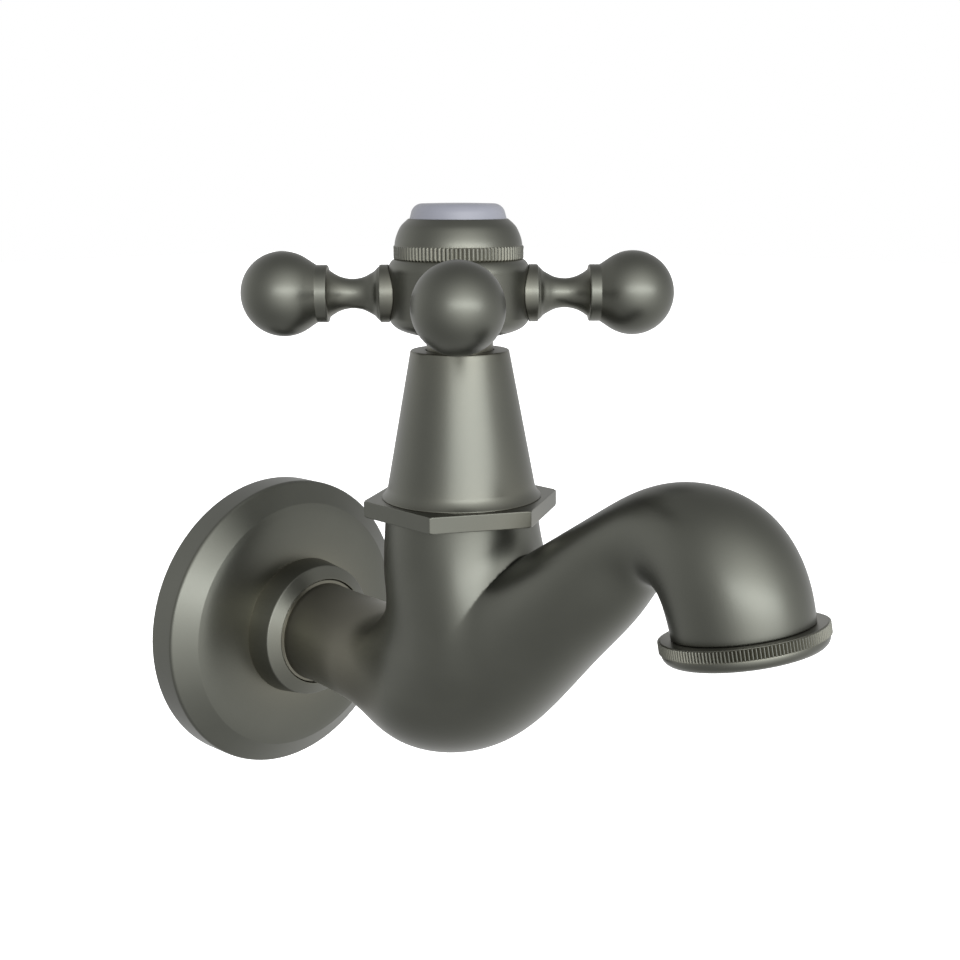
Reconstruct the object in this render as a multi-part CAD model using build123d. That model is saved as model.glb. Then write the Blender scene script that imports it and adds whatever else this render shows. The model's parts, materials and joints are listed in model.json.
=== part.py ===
# Wall-mounted bib tap: round wall flange, S-shaped body and spout, six-sided headwork flange,
# conical bell shroud and a four-arm cross handle with ball ends.
#
# Millimetres. Origin: centre of the wall flange's back face, on the wall plane Y = 0.
# The tap stands out from the wall towards -Y, +Z is up and X = 0 is the mirror plane.
# "out" in the comments is the distance from the wall, so a point at out = d lies at Y = -d.
import math
import os

from build123d import *

os.makedirs("parts", exist_ok=True)

# ---------------------------------------------------------------- driving dimensions
gap = 0.05                 # radial clearance of the screwed and sliding fits

# wall flange (turned, hollow at the back)
flange_r = 30.0            # outer radius
flange_rim = 6.2           # width of the cylindrical rim
flange_step_r = 25.65      # where the sloping band ends
flange_step_out = 9.1
boss_root_r = 14.2         # raised boss round the inlet tube
boss_root_out = 10.0
boss_front_r = 13.5
boss_front_out = 15.1
boss_mouth_r = 10.85
boss_mouth_out = 16.5
# inlet: G 1/2 male thread, drawn as a plain cylinder at its major diameter
tail_r = 20.955 / 2
tail_len = 16.0            # behind the wall plane
tail_start_out = 1.2
inlet_tube_r = 10.3        # as far as the boss's mouth
inlet_bore_r = 7.2
# body and spout: centre line (out, height) with radius, control points of a cubic B-spline
spout_ctrl = [
    (14.004, 0.000, 10.234), (26.520, -0.597, 9.387), (38.737, -1.431, 10.030),
    (48.949, -3.624, 12.674), (58.871, -0.039, 13.890), (68.466, 8.126, 12.720),
    (78.465, 17.252, 10.993), (88.175, 25.064, 9.647), (94.089, 31.503, 7.530),
    (100.475, 35.140, 7.851), (108.872, 35.102, 10.039), (115.106, 30.251, 11.886),
    (116.608, 22.237, 11.361)]
spout_wall = 2.3
crease_r = 1.5             # fillet where the barrel stands on the belly
# outlet ring, square to the spout's end, which leans outwards
outlet_out = 116.608
outlet_z = 22.237
outlet_tilt = 11.5         # degrees from straight down, towards the front
ring_tip_r = 13.55
ring_top_r = 13.43
ring_h = 3.75
ring_knurl_h = 1.85
ring_teeth = 144
ring_sleeve_r = 9.4        # threaded sleeve of the ring, up inside the spout
ring_sleeve = 5.0
ring_bore_r = 8.2
ring_mouth_r = 7.6
ring_shadow = 0.12         # narrow gap between the spout's end and the ring
# valve axis, barrel and seat
axis_out = 56.44
barrel_top_z = 31.81
chamber_r = 10.1
floor_z = 7.5
seat_z = 9.25
seat_r = 5.4
port_z = 14.7
port_r = 6.0
lift = 5.0                 # travel of the valve off its seat
# headwork
hex_corner_r = 17.907
hex_top_z = 34.78
hex_turn = 4.289           # degrees, a corner from straight ahead towards -X
thread_r = 10.4
thread_end_z = 22.0
skirt_r = 9.6
skirt_end_z = 19.0
guide_flat = 7.1           # half width across flats of the guide hole
collar_r = 11.0
collar_top_z = 40.0
tower_r = 7.4
tower_top_z = 55.2
stem_r = 5.0
thrust_r = 6.8
thrust_top_z = 36.0
# shroud
shroud_top_z = 61.38
shroud_top_r = 8.779
shroud_slope = 0.18495     # radius lost per mm of height
shroud_foot_r = 14.45
shroud_foot_z = 34.83
shroud_hole_r = 6.03
# handle
sleeve_r = 5.93
sleeve_foot_z = 58.0
arm_z = 71.34
arm_turn = 46.645          # degrees, front arm from straight ahead towards -X
ball_at = 30.70            # ball centre from the valve axis
ball_r = 7.41
hub_r = 12.38
knurl_lo = 77.37
knurl_hi = 79.65
cap_tip_r = 11.4
cap_teeth = 96
cap_mouth_r = 8.6
cap_mouth_z = 84.29
button_r = 8.45
button_top_z = 86.95


# ---------------------------------------------------------------- helpers
def unit(v):
    n = math.hypot(v[0], v[1])
    return (v[0] / n, v[1] / n)


def p3(q):
    return (q[0], 0.0, q[1])


def section(points):
    """Closed face in the XZ plane. Items are corners (radius, height[, corner radius]) or
    curves [(radius, height), ...] that run through these points between two sharp corners;
    a curve of one point is an arc."""
    n = len(points)
    ends = []
    for i, p in enumerate(points):
        if isinstance(p, list):
            ends.append(None)
            continue
        b = (p[0], p[1])
        if len(p) < 3:
            ends.append((b, b, None))
            continue
        a, c = points[i - 1], points[(i + 1) % n]
        a, c = a[-1] if isinstance(a, list) else a, c[0] if isinstance(c, list) else c
        u, v = unit((a[0] - b[0], a[1] - b[1])), unit((c[0] - b[0], c[1] - b[1]))
        half = math.acos(max(-1.0, min(1.0, u[0] * v[0] + u[1] * v[1]))) / 2
        t = p[2] / math.tan(half)
        w = unit((u[0] + v[0], u[1] + v[1]))
        k = p[2] / math.sin(half) - p[2]
        ends.append(((b[0] + u[0] * t, b[1] + u[1] * t), (b[0] + v[0] * t, b[1] + v[1] * t),
                     (b[0] + w[0] * k, b[1] + w[1] * k)))
    edges = []
    for i, e in enumerate(ends):
        if e is None:
            a, b = ends[i - 1][1], ends[(i + 1) % n][0]
            mid = points[i]
            if len(mid) == 1:
                edges.append(Edge.make_three_point_arc(p3(a), p3(mid[0]), p3(b)))
            else:
                edges.append(Edge.make_spline([p3(a)] + [p3(m) for m in mid] + [p3(b)]))
            continue
        if e[2] is not None:
            edges.append(Edge.make_three_point_arc(p3(e[0]), p3(e[2]), p3(e[1])))
        nxt = ends[(i + 1) % n]
        if nxt is not None and math.hypot(nxt[0][0] - e[1][0], nxt[0][1] - e[1][1]) > 1e-6:
            edges.append(Edge.make_line(p3(e[1]), p3(nxt[0])))
    return Face(Wire(edges))


def turned(points):
    """Solid of revolution about Z."""
    return revolve(section(points), axis=Axis.Z)


def tube(r_out, r_in, z0, z1):
    return turned([(r_in, z0), (r_out, z0), (r_out, z1), (r_in, z1)])


def rod(r, z0, z1):
    return Pos(0, 0, (z0 + z1) / 2) * Cylinder(r, z1 - z0)


def o_ring(r_mid, r_sec, z):
    return Pos(0, 0, z) * Torus(r_mid, r_sec)


def prism(corners, z0, z1):
    return Pos(0, 0, z0) * extrude(make_face(Polyline(*corners, close=True)), z1 - z0)


def hexagon(half_flat, z0, z1, turn):
    """Six-sided prism with one corner turned from straight ahead (-Y) towards -X."""
    r = half_flat / math.cos(math.pi / 6)
    a0 = math.radians(-90.0 - turn)
    return prism([(r * math.cos(a0 + k * math.pi / 3), r * math.sin(a0 + k * math.pi / 3))
                  for k in range(6)], z0, z1)


def toothed(r_tip, depth, teeth, z0, z1, flat=0.17):
    """Disc with straight V teeth all round it; flat is half a tip's width in teeth."""
    step = 2 * math.pi / teeth
    pts = []
    for i in range(teeth):
        for k, r in ((-flat, r_tip), (flat, r_tip), (0.5, r_tip - depth)):
            a = (i + k) * step
            pts.append((r * math.cos(a), r * math.sin(a)))
    return prism(pts, z0, z1)


on_wall = Plane(origin=(0, 0, 0), x_dir=(1, 0, 0), z_dir=(0, -1, 0)).location
on_valve = Pos(0, -axis_out, 0)
tilt = math.radians(outlet_tilt)
on_outlet = Plane(origin=(0, -outlet_out, outlet_z), x_dir=(1, 0, 0),
                  z_dir=(0, -math.sin(tilt), -math.cos(tilt))).location


# ---------------------------------------------------------------- spout centre line
n_ctrl = len(spout_ctrl)
knots = [0.0] * 3 + [j / (n_ctrl - 3) for j in range(n_ctrl - 2)] + [1.0] * 3


def basis(i, k, u):
    if k == 0:
        return 1.0 if knots[i] <= u < knots[i + 1] else 0.0
    v = 0.0
    if knots[i + k] > knots[i]:
        v += (u - knots[i]) / (knots[i + k] - knots[i]) * basis(i, k - 1, u)
    if knots[i + k + 1] > knots[i + 1]:
        v += (knots[i + k + 1] - u) / (knots[i + k + 1] - knots[i + 1]) * basis(i + 1, k - 1, u)
    return v


def centre_line(u):
    """(out, height, radius) at u from 0, inside the flange's boss, to 1, the outlet."""
    u = min(max(u, 0.0), 1.0 - 1e-9)
    w = [basis(i, 3, u) for i in range(n_ctrl)]
    return tuple(sum(w[i] * spout_ctrl[i][k] for i in range(n_ctrl)) for k in range(3))


def circle_at(u, less=0.0):
    """Circle where the ball that rolls along the centre line touches the skin."""
    e = 2e-4
    a, b = centre_line(u - e), centre_line(u + e)
    out, z, r = centre_line(u)
    r -= less
    ds = math.hypot(b[0] - a[0], b[1] - a[1])
    ty, tz, rp = (b[0] - a[0]) / ds, (b[1] - a[1]) / ds, (b[2] - a[2]) / ds
    c = (0.0, -(out - r * rp * ty), z - r * rp * tz)
    return Wire.make_circle(r * math.sqrt(1 - rp * rp),
                            Plane(origin=c, x_dir=(0, -tz, -ty), z_dir=(0, -ty, tz)))


def spout_loft(u0, u1, n, less=0.0):
    return Solid.make_loft([circle_at(u0 + (u1 - u0) * i / (n - 1), less) for i in range(n)], False)


# ================================================================ wall side
wall_flange = on_wall * turned([
    (flange_r, 0, 0.3), (flange_r, flange_rim, 0.9), (flange_step_r, flange_step_out),
    [(24.6, 9.42), (22.5, 9.78), (19.5, 9.95), (17.0, 10.0)], (boss_root_r, boss_root_out),
    (boss_front_r, boss_front_out, 0.28),
    (boss_mouth_r, boss_mouth_out, 0.12), (boss_mouth_r, 6.6), (12.25, 6.6), (12.25, 4.2),
    (boss_mouth_r, 4.2), (boss_mouth_r, 1.8), (13.2, 1.8), (13.2, 7.2, 0.6),
    (21.9, 7.0, 0.6), (21.9, 5.2), (27.8, 5.2), (27.8, 0)])
flange_o_ring = on_wall * o_ring(11.27, 0.92, 5.4)
flange_gasket = on_wall * tube(27.75, 22.0, 0, 5.2)

# ================================================================ body casting
# outside: inlet tube and belly flow into the spout, the barrel stands on the belly
skin = spout_loft(0.0, 1.0, 41)
barrel = on_valve * revolve(Face(Wire([
    Edge.make_line((0, 0, barrel_top_z), (13.85, 0, barrel_top_z)),
    Edge.make_spline([(13.85, 0, barrel_top_z), (14.38, 0, 24.5), (14.80, 0, 18.0), (14.84, 0, 12.0),
                      (14.35, 0, 6.0), (13.3, 0, 0.0), (11.8, 0, -5.0), (9.3, 0, -9.5)],
                     tangents=[(0.07, 0, -1), (-1, 0, -0.25)]),
    Edge.make_line((9.3, 0, -9.5), (0, 0, -9.5)),
    Edge.make_line((0, 0, -9.5), (0, 0, barrel_top_z))])), axis=Axis.Z)
rough = Part() + skin + barrel
crease = [e for e in rough.edges() if e.geom_type == GeomType.BSPLINE
          and e.bounding_box().max.Z > 15 and e.bounding_box().min.Z > -5
          and e.bounding_box().max.Z < 31 and e.bounding_box().max.Y < -35
          and e.bounding_box().min.Y > -80]
tap_body = Part() + rough.fillet(crease_r, crease)
tap_body = tap_body + on_wall * rod(inlet_tube_r, 0, 15.6)
tap_body = tap_body + on_wall * turned([(0, tail_start_out), (tail_r, tail_start_out, 0.3),
                                        (tail_r, -tail_len, 0.8), (0, -tail_len)])
tap_body = tap_body - on_outlet * rod(20, -ring_shadow, 8)
# inside, inlet side: straight bore, then a pocket under the seat
inlet_way = [(-20.0, 0.0, inlet_bore_r), (10.0, 0.0, inlet_bore_r), (22.0, -0.2, inlet_bore_r),
             (34.0, -1.4, 7.3), (46.0, -2.8, 7.6), (62.0, -3.2, 7.7)]
inlet_rings = [Wire.make_circle(r, Plane(origin=(0, -o, z), x_dir=(1, 0, 0), z_dir=(0, -1, 0)))
               for o, z, r in inlet_way]
tap_body = tap_body - on_wall * rod(inlet_bore_r, -tail_len - 1, 10.0)
tap_body = tap_body - Solid.make_loft(inlet_rings[1:], False)
# inside, barrel: threaded mouth with a step for the seal, chamber, seat and port to the spout
tap_body = tap_body - on_valve * turned([
    (0, barrel_top_z + 1), (12.3, barrel_top_z + 1), (12.3, barrel_top_z - 1.8),
    (thread_r + gap, barrel_top_z - 1.8), (thread_r + gap, thread_end_z), (chamber_r, thread_end_z - 0.4),
    (chamber_r, floor_z, 0.7), (7.0, floor_z), (6.7, seat_z, 0.25), (seat_r, seat_z, 0.25),
    (seat_r, 0.0), (0, 0.0)])
tap_body = tap_body - Pos(0, -axis_out, port_z) * Rot(90, 0, 0) * Pos(0, 0, 9) * Cylinder(port_r, 18)
# inside, spout
tap_body = tap_body - spout_loft(0.465, 0.95, 22, spout_wall)
tap_body = tap_body - on_outlet * rod(ring_sleeve_r + gap, -ring_sleeve - 0.8, 3)


# ================================================================ headwork
bonnet = on_valve * turned([
    (0, skirt_end_z), (skirt_r, skirt_end_z, 0.3), (skirt_r, thread_end_z), (thread_r, thread_end_z, 0.4),
    (thread_r, barrel_top_z), (13.0, barrel_top_z), (13.0, hex_top_z - 0.5), (collar_r, hex_top_z - 0.5),
    (collar_r, collar_top_z, 0.4), (tower_r, collar_top_z), (tower_r, tower_top_z, 0.4),
    (0, tower_top_z)])
six = on_valve * (hexagon(hex_corner_r * math.cos(math.pi / 6), barrel_top_z, hex_top_z, hex_turn)
                  & turned([(0, barrel_top_z), (hex_corner_r - 0.3, barrel_top_z),
                            (hex_corner_r + 0.4, barrel_top_z + 0.5), (hex_corner_r + 0.4, hex_top_z - 0.5),
                            (hex_corner_r - 0.3, hex_top_z), (0, hex_top_z)]))
bonnet = bonnet + six
bonnet = bonnet - on_valve * (hexagon(guide_flat, skirt_end_z - 1, 31.3, hex_turn)
                              + rod(thrust_r, 30.0, thrust_top_z)
                              + rod(stem_r + gap, 35.0, tower_top_z + 1))
bonnet_o_ring = on_valve * o_ring(11.35, 0.88, barrel_top_z - 0.9)
thrust_washer = on_valve * tube(thrust_r - gap, stem_r + 0.08, thrust_top_z - 0.8, thrust_top_z)
slip_washer = on_valve * tube(7.2, stem_r + 0.08, tower_top_z, tower_top_z + 0.8)


def shroud_at(z):
    return shroud_top_r + shroud_slope * (shroud_top_z - z)


bell_shroud = on_valve * turned([
    (shroud_foot_r, shroud_foot_z), (shroud_foot_r, shroud_foot_z + 0.1), [(13.70, 35.84)], (shroud_at(36.95), 36.95),
    (shroud_top_r, shroud_top_z, 0.3), (shroud_hole_r, shroud_top_z, 0.15), (shroud_hole_r, shroud_top_z - 1.7),
    (shroud_at(59.68) - 1.7, shroud_top_z - 1.7, 0.5), (10.1, collar_top_z), (collar_r + gap, collar_top_z),
    (collar_r + gap, 36.2), (12.6, 36.0), (13.2, shroud_foot_z)])

# ================================================================ outlet
outlet_ring = on_outlet * (
    turned([(ring_sleeve_r, 0), (ring_top_r, 0, 0.1), (ring_top_r - 0.21, 0.15), (ring_top_r - 0.21, ring_knurl_h),
            [(12.86, 3.2)], (11.6, ring_h), (ring_mouth_r, ring_h, 0.3), (ring_mouth_r, 2.2), (ring_bore_r, 2.2),
            (ring_bore_r, -ring_sleeve, 0.3), (ring_sleeve_r, -ring_sleeve, 0.3)])
    + (toothed(ring_tip_r, 0.32, ring_teeth, 0.12, ring_knurl_h, 0.13) - rod(12.5, -1, 4)))
outlet_washer = on_outlet * tube(ring_sleeve_r, 8.3, -ring_sleeve - 0.8, -ring_sleeve)
# holes of the flow former on rings of 1, 6, 12 and 18
spots = [(0.0, 0.0)] + [
    (rr * math.cos(2 * math.pi * (k + 0.5 * (j % 2)) / nn), rr * math.sin(2 * math.pi * (k + 0.5 * (j % 2)) / nn))
    for j, (rr, nn) in enumerate(((2.3, 6), (4.5, 12), (6.5, 18))) for k in range(nn)]
flow_former = turned([(0, -3.6), (ring_bore_r - gap, -3.6, 0.2), (ring_bore_r - gap, 2.2), (7.4, 2.2),
                      (7.1, 1.7), (0, 1.7)])
flow_former = on_outlet * (flow_former - [Pos(x, y, 0) * Cylinder(0.75, 14) for x, y in spots])
pitch = 1.3
windows = [Pos(i * pitch, j * pitch, -3.8) * Box(0.85, 0.85, 3) for i in range(-6, 7) for j in range(-6, 7)
           if math.hypot(abs(i) * pitch + 0.45, abs(j) * pitch + 0.45) < 7.7]
mesh_screen = on_outlet * (Pos(0, 0, -3.8) * Cylinder(ring_bore_r - gap, 0.4) - windows)

# ================================================================ valve, guided by its six sides
valve_carrier = on_valve * (
    hexagon(guide_flat - 0.1, 13.5, 26.0, hex_turn)
    + turned([(7.5, 10.5), (8.2, 10.5, 0.2), (8.2, 13.5, 0.4), (0, 13.5), (0, 11.7), (7.5, 11.7)])
    - rod(4.5 + gap, 14.6, 27) - rod(1.55, 11, 14.0))
tap_washer = on_valve * turned([(1.6, seat_z + 0.05), (7.45, seat_z + 0.05, 0.5), (7.45, 11.7), (1.6, 11.7)])
washer_plate = on_valve * turned([(1.6, 8.7), (3.6, 8.7, 0.15), (3.6, seat_z + 0.05), (1.6, seat_z + 0.05)])
washer_screw = on_valve * (turned([(0, 7.2), (2.6, 7.2, 0.5), (2.6, 8.7), (1.5, 8.7), (1.5, 13.8, 0.2), (0, 13.8)])
                           - Pos(0, 0, 7.2) * Box(0.8, 6, 1.4))

# ================================================================ spindle and handle
spindle = on_valve * (
    turned([(0, 20.0), (4.5, 20.0, 0.6), (4.5, 31.5), (6.5, 32.0, 0.3), (6.5, 35.15, 0.3), (stem_r, 35.15),
            (stem_r, 45.0), (3.9, 45.0), (3.9, 47.0), (stem_r, 47.0), (stem_r, 50.0), (3.9, 50.0), (3.9, 52.0),
            (stem_r, 52.0), (stem_r, 56.05), (4.5, 56.05), (4.5, 57.1), (stem_r, 57.1, 0.2), (stem_r, 57.8),
            (4.4, 57.8), (4.4, 65.0), (0, 65.0)])
    + Pos(0, 0, 69.15) * Rot(0, 0, arm_turn) * Box(6.2, 6.2, 8.3)
    - rod(2.5 + gap, 61.0, 74))
spindle_o_ring_lower = on_valve * o_ring(4.48, 0.54, 46.0)
spindle_o_ring_upper = on_valve * o_ring(4.48, 0.54, 51.0)
spindle_circlip = on_valve * (tube(6.6, 4.5 + gap, 56.05, 57.05) - Pos(0, -6, 56.5) * Box(3.2, 8, 3))

arm_dirs = {"front": 0, "left": 1, "rear": 2, "right": -1}
hub = turned([
    (0, sleeve_foot_z), (sleeve_r, sleeve_foot_z, 0.2), (sleeve_r, 64.1), [(7.7, 64.2), (8.6, 64.4), (10.2, 64.9), (11.3, 65.5), (12.0, 66.2)],
    (hub_r, 67.5), (hub_r, 75.0), [(12.17, 76.4), (11.6, 77.15)], (11.2, knurl_lo), (10.2, knurl_lo), (10.2, 80.6, 0.3),
    (7.0, 80.6), (7.0, 74.0), (0, 74.0)])
hub = hub - rod(4.4 + gap, sleeve_foot_z - 1, 65.1)
hub = hub - Pos(0, 0, 70) * Rot(0, 0, arm_turn) * Box(6.3, 6.3, 10) - rod(2.5 + 0.1, 72, 75)
arm_axis = {}
for name, k in arm_dirs.items():
    a = math.radians(arm_turn + 90 * k)
    arm_axis[name] = Plane(origin=(0, 0, arm_z), x_dir=(0, 0, 1), z_dir=(-math.sin(a), -math.cos(a), 0)).location
    hub = hub - arm_axis[name] * rod(2.0 + gap, 8.2, 14)
handle_hub = on_valve * hub

# ball end: cone from the outer collar runs tangent into the ball
cone_at, cone_r = 24.85, 5.0
reach = math.hypot(ball_at - cone_at, cone_r)
slant = math.atan2(cone_r, cone_at - ball_at)               # direction from ball centre to cone start
touch = slant - math.acos(ball_r / reach)
tangent = (ball_r * math.sin(touch), ball_at + ball_r * math.cos(touch))
arm = revolve(section([
    (0, 10.9), (5.05, 10.9), (5.05, 13.95, 0.3), (4.72, 13.95),
    [(4.6, 14.15), (4.05, 14.68), (3.45, 15.6), (3.0, 16.45), (2.73, 17.3), (2.6, 18.2), (2.6, 19.1),
     (2.75, 20.0), (3.0, 20.8), (3.45, 21.7), (4.0, 22.5)],
    (4.3, 22.85), (cone_r, 22.85, 0.3), (cone_r, cone_at),
    tangent, [(ball_r * math.sin(touch / 2), ball_at + ball_r * math.cos(touch / 2))], (0, ball_at + ball_r)]),
    axis=Axis.Z)
arms = {}
for name in arm_dirs:
    piece = arm_axis[name] * arm - rod(hub_r + gap, 60, 80)
    piece = piece + arm_axis[name] * turned([(0, 8.4), (2.0, 8.4, 0.3), (2.0, 13.5), (0, 13.5)])
    arms[name] = on_valve * piece
handle_arm_front, handle_arm_left = arms["front"], arms["left"]
handle_arm_rear, handle_arm_right = arms["rear"], arms["right"]

handle_screw_washer = on_valve * turned([(2.65, 74.0), (5.4, 74.0, 0.15), (5.4, 75.0, 0.15), (2.65, 75.0)])
handle_screw = on_valve * (
    turned([(0, 62.5), (2.5, 62.5, 0.5), (2.5, 75.0), (4.4, 75.0), (4.4, 78.6, 0.4), (0, 78.6)])
    - hexagon(2.0, 76.4, 79, 0))
handle_cap = on_valve * (
    turned([(10.25, knurl_lo), (cap_tip_r - 0.22, knurl_lo), (cap_tip_r - 0.22, knurl_hi),
            [(11.03, 80.65), (10.8, 81.4), (10.47, 82.2), (10.05, 82.95), (9.5, 83.55)],
            (cap_mouth_r + 0.12, cap_mouth_z - 0.05),
            (cap_mouth_r, cap_mouth_z - 0.2), (cap_mouth_r, 82.5), (9.0, 82.5), (9.0, 80.7), (10.25, 80.7)])
    + ((toothed(cap_tip_r, 0.2, cap_teeth, knurl_lo, knurl_hi)
        & turned([(0, knurl_lo), (cap_tip_r - 0.15, knurl_lo), (cap_tip_r + 0.1, knurl_lo + 0.25),
                  (cap_tip_r + 0.1, knurl_hi - 0.25), (cap_tip_r - 0.15, knurl_hi), (0, knurl_hi)]))
       - rod(10.8, 70, 90)))
button_gasket = on_valve * tube(8.9, 7.3, 80.6, 81.4)
index_button = on_valve * turned([
    (0, 80.9), (7.1, 80.9), (7.1, 81.4), (8.95, 81.4), (8.95, 82.5), (button_r, 82.5), (button_r, 84.3),
    (8.13, 85.5), [(7.56, 86.34)], (6.4, button_top_z - 0.1),
    [(5.0, button_top_z - 0.065), (3.4, button_top_z - 0.03), (1.7, button_top_z - 0.0075)], (0, button_top_z)])

pieces = {
    "tap_body": tap_body, "wall_flange": wall_flange, "flange_gasket": flange_gasket,
    "flange_o_ring": flange_o_ring, "bonnet": bonnet, "bonnet_o_ring": bonnet_o_ring,
    "thrust_washer": thrust_washer, "slip_washer": slip_washer, "bell_shroud": bell_shroud,
    "outlet_ring": outlet_ring, "outlet_washer": outlet_washer, "flow_former": flow_former,
    "mesh_screen": mesh_screen, "valve_carrier": valve_carrier, "tap_washer": tap_washer,
    "washer_plate": washer_plate, "washer_screw": washer_screw, "spindle": spindle,
    "spindle_o_ring_lower": spindle_o_ring_lower, "spindle_o_ring_upper": spindle_o_ring_upper,
    "spindle_circlip": spindle_circlip, "handle_hub": handle_hub,
    "handle_arm_front": handle_arm_front, "handle_arm_left": handle_arm_left,
    "handle_arm_rear": handle_arm_rear, "handle_arm_right": handle_arm_right,
    "handle_screw": handle_screw, "handle_screw_washer": handle_screw_washer,
    "handle_cap": handle_cap, "button_gasket": button_gasket, "index_button": index_button,
}
for name, solid in pieces.items():
    export_step(solid, f"parts/{name}.step")
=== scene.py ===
import bpy
import bmesh
import json
import math
import numpy as np
from mathutils import Matrix, Vector


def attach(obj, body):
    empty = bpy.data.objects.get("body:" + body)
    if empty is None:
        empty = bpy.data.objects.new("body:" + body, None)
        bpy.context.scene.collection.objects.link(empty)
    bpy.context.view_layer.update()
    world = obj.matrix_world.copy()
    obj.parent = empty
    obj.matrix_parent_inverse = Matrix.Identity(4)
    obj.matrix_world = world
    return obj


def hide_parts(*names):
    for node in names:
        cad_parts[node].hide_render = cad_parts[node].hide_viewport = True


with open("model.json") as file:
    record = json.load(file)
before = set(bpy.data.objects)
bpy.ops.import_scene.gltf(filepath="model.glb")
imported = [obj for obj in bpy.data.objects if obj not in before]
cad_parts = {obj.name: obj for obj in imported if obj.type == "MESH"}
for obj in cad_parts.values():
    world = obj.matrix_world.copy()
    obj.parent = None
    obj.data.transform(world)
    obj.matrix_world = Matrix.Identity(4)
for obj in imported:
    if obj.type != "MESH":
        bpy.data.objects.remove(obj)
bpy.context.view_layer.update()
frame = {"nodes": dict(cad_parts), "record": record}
nodes = frame["nodes"]
scene = bpy.context.scene

# ------------------------------------------------------------------ camera
cam_data = bpy.data.cameras.new("camera")
cam_data.lens = 50.0
cam_data.sensor_width = 36.0
cam_data.sensor_fit = "HORIZONTAL"
cam_data.shift_x = -0.0625
cam_data.clip_start, cam_data.clip_end = 0.01, 20.0
cam = bpy.data.objects.new("camera", cam_data)
scene.collection.objects.link(cam)
right = Vector((0.64617414, -0.76319, 0.0))
up = Vector((0.1624767, 0.13756501, 0.97707584))
back = right.cross(up)
rot = Matrix((right, up, back)).transposed()
cam.matrix_world = Matrix.Translation((-0.171575, -0.220396, 0.089206)) @ rot.to_4x4()
scene.camera = cam
scene.view_settings.view_transform = "Standard"

# ------------------------------------------------------------------ casting: the body's outside as one flowing skin
# Millimetres, as in part.py: a ball rolls along the centre line (out, height, radius), and a turned
# barrel stands on the belly. The two join in a fillet whose radius changes round the barrel. Towards the
# spout the fillet ends in a shallow crease.
AXIS = 56.44
CENTRE_LINE = np.array([
    (14.004, 0.000, 10.234), (26.520, -0.597, 9.387), (38.737, -1.431, 10.030),
    (48.949, -3.624, 12.674), (58.871, -0.039, 13.890), (68.466, 8.126, 12.720),
    (78.465, 17.252, 10.993), (88.175, 25.064, 9.647), (94.089, 31.503, 7.530),
    (100.475, 35.140, 7.851), (108.872, 35.102, 10.039), (115.106, 30.251, 11.886),
    (116.608, 22.237, 11.361)])
BARREL_Z = np.array([-14.0, -9.5, -5.0, 0.0, 6.0, 12.0, 18.0, 24.5, 31.81, 36.0])
BARREL_R = np.array([1.0, 3.6, 5.8, 7.8, 10.0, 12.6, 14.2, 14.34, 13.85, 13.56])
BARREL_TOP = 31.81
TILT = math.radians(11.5)
OUTLET = np.array([0.0, -116.608, 22.237])
OUTLET_N = np.array([0.0, -math.sin(TILT), -math.cos(TILT)])


def round_the_barrel(degrees, values):
    """Table for each degree from the spout's side to the wall's, softened."""
    t = np.interp(np.abs(np.arange(-30, 211) - np.where(np.arange(-30, 211) > 180, 2 * (np.arange(-30, 211) - 180), 0)), degrees, values)
    w = np.hanning(31)
    return np.convolve(t, w / w.sum(), "valid")[15:-15]


ROUND_R = round_the_barrel([0, 25, 50, 80, 180], [4.6, 5.2, 8.5, 12.0, 6.0])       # fillet
CREASE_H = round_the_barrel([0, 28, 54, 180], [3.0, 2.7, 0.0, 0.0])                # how much the crease cuts off it
SOFT_HIGH = round_the_barrel([0, 35, 60, 115, 140, 180], [8.0, 10.0, 12.0, 12.0, 9.0, 7.0])         # reach of the soft blend
SOFT_LOW = round_the_barrel([0, 35, 60, 95, 125, 150, 180], [8.0, 10.0, 12.0, 11.0, 14.0, 16.0, 9.0])
SOFT_MIX = round_the_barrel([0, 15, 55, 160, 180], [0.0, 0.0, 1.0, 1.0, 0.8])      # share of the soft blend
TAIL_CUT = -16.25


def spline_points(ctrl, u):
    n = len(ctrl)
    knots = np.array([0.0] * 3 + list(np.linspace(0, 1, n - 2)) + [1.0] * 3)
    u = np.clip(u, 0, 1 - 1e-9)
    b = [((knots[i] <= u) & (u < knots[i + 1])).astype(float) for i in range(len(knots) - 1)]
    for k in range(1, 4):
        nb = []
        for i in range(len(knots) - 1 - k):
            v = np.zeros_like(u)
            if knots[i + k] > knots[i]:
                v += (u - knots[i]) / (knots[i + k] - knots[i]) * b[i]
            if knots[i + k + 1] > knots[i + 1]:
                v += (knots[i + k + 1] - u) / (knots[i + k + 1] - knots[i + 1]) * b[i + 1]
            nb.append(v)
        b = nb
    return np.stack(b[:n], 1) @ ctrl


def rolling_line():
    """(y, z, radius) of the rolling ball, run on a little past both ends."""
    p = spline_points(CENTRE_LINE, np.linspace(0, 1, 521))
    p[:, 0] = -p[:, 0]
    k = np.arange(1, 13)[:, None]
    return np.vstack([(p[0] + (p[0] - p[1]) * k)[::-1], p, p[-1] + (p[-1] - p[-2]) * k])


LINE = rolling_line()


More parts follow.
